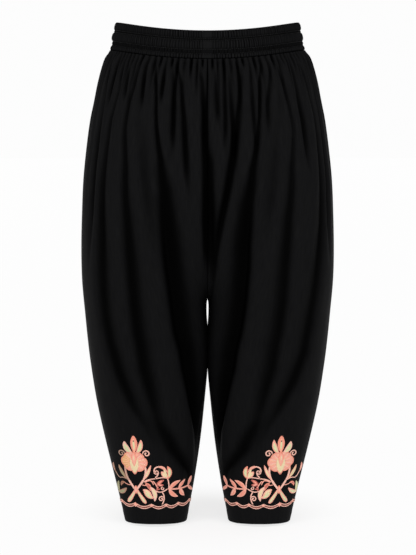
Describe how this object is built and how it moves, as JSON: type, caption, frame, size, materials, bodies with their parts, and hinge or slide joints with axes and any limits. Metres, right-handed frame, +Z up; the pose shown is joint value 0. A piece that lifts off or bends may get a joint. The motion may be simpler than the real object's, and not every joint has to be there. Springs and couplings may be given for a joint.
{
  "type": "embroidered harem trousers",
  "caption": "Pull-on harem trousers in black cloth, gathered into a ruched elastic waistband, with a low crotch, tapering legs and a flower border above each hem.",
  "frame": {"origin": "the middle of the waistband's opening, half way up the band at the sides, where the wearer's waist holds the garment", "axes": "+Z up along the body, -Y to the front, +X to the wearer's left"},
  "size_m": [0.4604, 0.3108, 0.9115],
  "materials": {
    "black_cloth": "soft matt weave with a faint sheen on the folds",
    "embroidery_thread": "satin stitch in coral, peach and sage"
  },
  "bodies": {
    "root": {"waistband": "black_cloth", "front_left": "black_cloth", "front_right": "black_cloth", "back_left": "black_cloth", "back_right": "black_cloth", "flower_front_left": "embroidery_thread", "flower_front_right": "embroidery_thread", "flower_back_left": "embroidery_thread", "flower_back_right": "embroidery_thread", "hem_cord_left": "embroidery_thread", "hem_cord_right": "embroidery_thread"}
  },
  "joints": []
}
